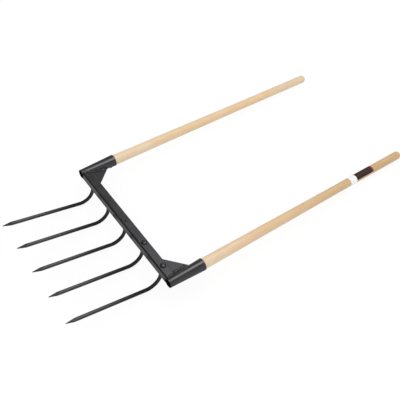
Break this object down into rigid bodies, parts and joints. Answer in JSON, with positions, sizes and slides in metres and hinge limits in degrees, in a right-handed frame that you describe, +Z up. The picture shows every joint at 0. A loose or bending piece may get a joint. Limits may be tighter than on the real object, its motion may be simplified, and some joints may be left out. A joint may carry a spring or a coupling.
{
  "type": "broadfork",
  "caption": "Broadfork with bent pointed steel tines riveted through an angle crossbar, and two long wooden handles in conical sockets welded to its ends.",
  "frame": {"origin": "middle of the footprint, on the ground that the fork lies on, at the centre of its box", "axes": "+X along the crossbar to the labelled handle, +Y from the tine tips to the handle ends, +Z up from the ground"},
  "size_m": [0.5624, 1.3428, 0.0959],
  "materials": {
    "frame_paint": "satin black paint",
    "tine_paint": "satin black paint on forged bar",
    "weld_paint": "satin black paint over weld beads",
    "handle_wood": "sanded pale hardwood, light varnish",
    "screw_steel": "zinc plated",
    "label_white": "coated paper",
    "label_dark": "coated paper, printed dark"
  },
  "bodies": {
    "root": {"crossbar": "frame_paint", "tine_1": "tine_paint", "tine_2": "tine_paint", "tine_3": "tine_paint", "tine_4": "tine_paint", "tine_5": "tine_paint", "socket_left": "frame_paint", "socket_right": "frame_paint", "gusset_left": "frame_paint", "gusset_right": "frame_paint", "weld_bar_left": "weld_paint", "weld_bar_right": "weld_paint", "weld_gusset_left": "weld_paint", "weld_gusset_right": "weld_paint", "weld_seam_left": "weld_paint", "weld_seam_right": "weld_paint", "handle_left": "handle_wood", "handle_right": "handle_wood", "handle_screw_left": "screw_steel", "handle_screw_right": "screw_steel", "label_band": "label_white", "label_panel": "label_dark"}
  },
  "joints": []
}
